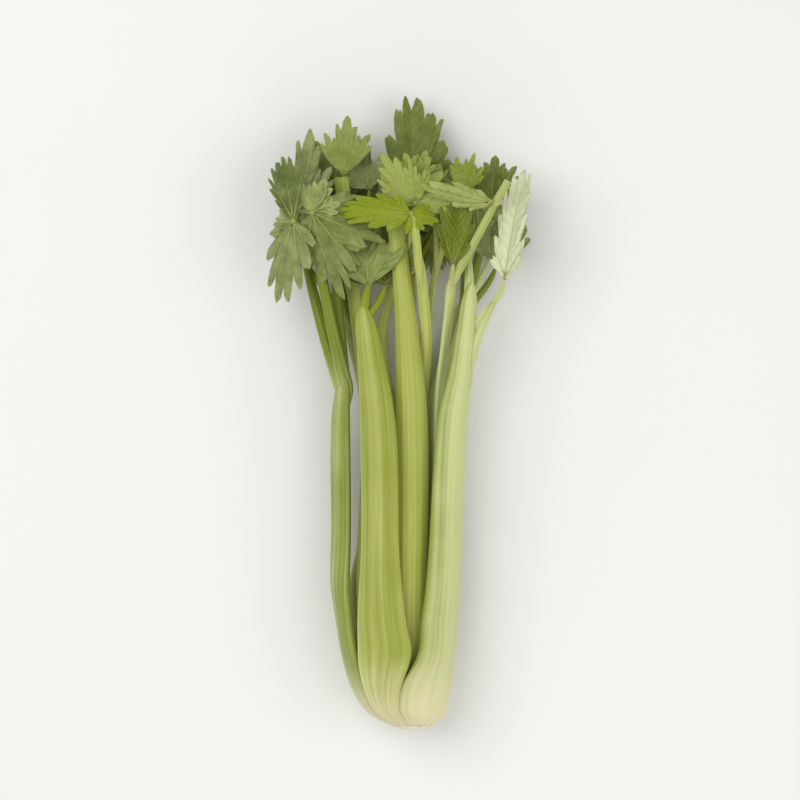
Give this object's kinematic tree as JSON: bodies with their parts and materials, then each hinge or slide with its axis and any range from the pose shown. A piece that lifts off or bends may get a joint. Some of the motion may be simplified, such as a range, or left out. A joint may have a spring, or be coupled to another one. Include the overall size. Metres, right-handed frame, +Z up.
{
  "type": "celery head",
  "caption": "Head of celery lying down: ribbed, hollowed leaf stalks that clasp a cut butt, with branching tops and toothed leaves.",
  "frame": {"origin": "on the table under the middle of the head's bounding box, as the head lies", "axes": "+Y along the head from the cut butt to the leaves, +X to the right for someone looking down on it with the leaves at the top, +Z up"},
  "size_m": [0.1451, 0.3498, 0.064],
  "materials": {
    "butt": "moist cream plant flesh with fine fibres",
    "stalk": "ribbed light green skin with a soft gloss, paler towards the base",
    "heart": "thin yellow-green skin with a soft gloss",
    "leaf": "veined mid green leaf, slightly glossy"
  },
  "bodies": {
    "root": {"butt": "butt", "stalk_left": "stalk", "stalk_front": "stalk", "stalk_right": "stalk", "stalk_back_right": "stalk", "stalk_back_left": "stalk", "stalk_middle": "stalk", "stalk_inner_right": "stalk", "stalk_inner_left": "stalk", "stalk_inner_back": "stalk", "stalk_inner_low": "stalk", "heart_front": "heart", "heart_left": "heart", "heart_right": "heart", "leaf_bright": "leaf", "leaf_centre": "leaf", "leaf_heart": "leaf", "leaf_pale_small": "leaf", "leaf_bright_right": "leaf", "leaf_arching": "leaf", "leaf_star": "leaf", "leaf_far_right": "leaf", "leaf_trough": "leaf", "leaf_grey": "leaf", "leaf_right_up": "leaf", "leaf_front_long": "leaf", "leaf_front_dark": "leaf", "leaf_left_hanging": "leaf", "leaf_left_finger": "leaf", "leaf_left_plane": "leaf", "leaf_back_left_top": "leaf", "leaf_olive": "leaf", "leaf_grey_middle": "leaf", "leaf_crown": "leaf", "leaf_back_right_side": "leaf", "leaf_back_right_mid": "leaf", "leaf_back_left_side": "leaf", "leaf_back_left_mid": "leaf", "leaf_back_middle": "leaf"}
  },
  "joints": []
}
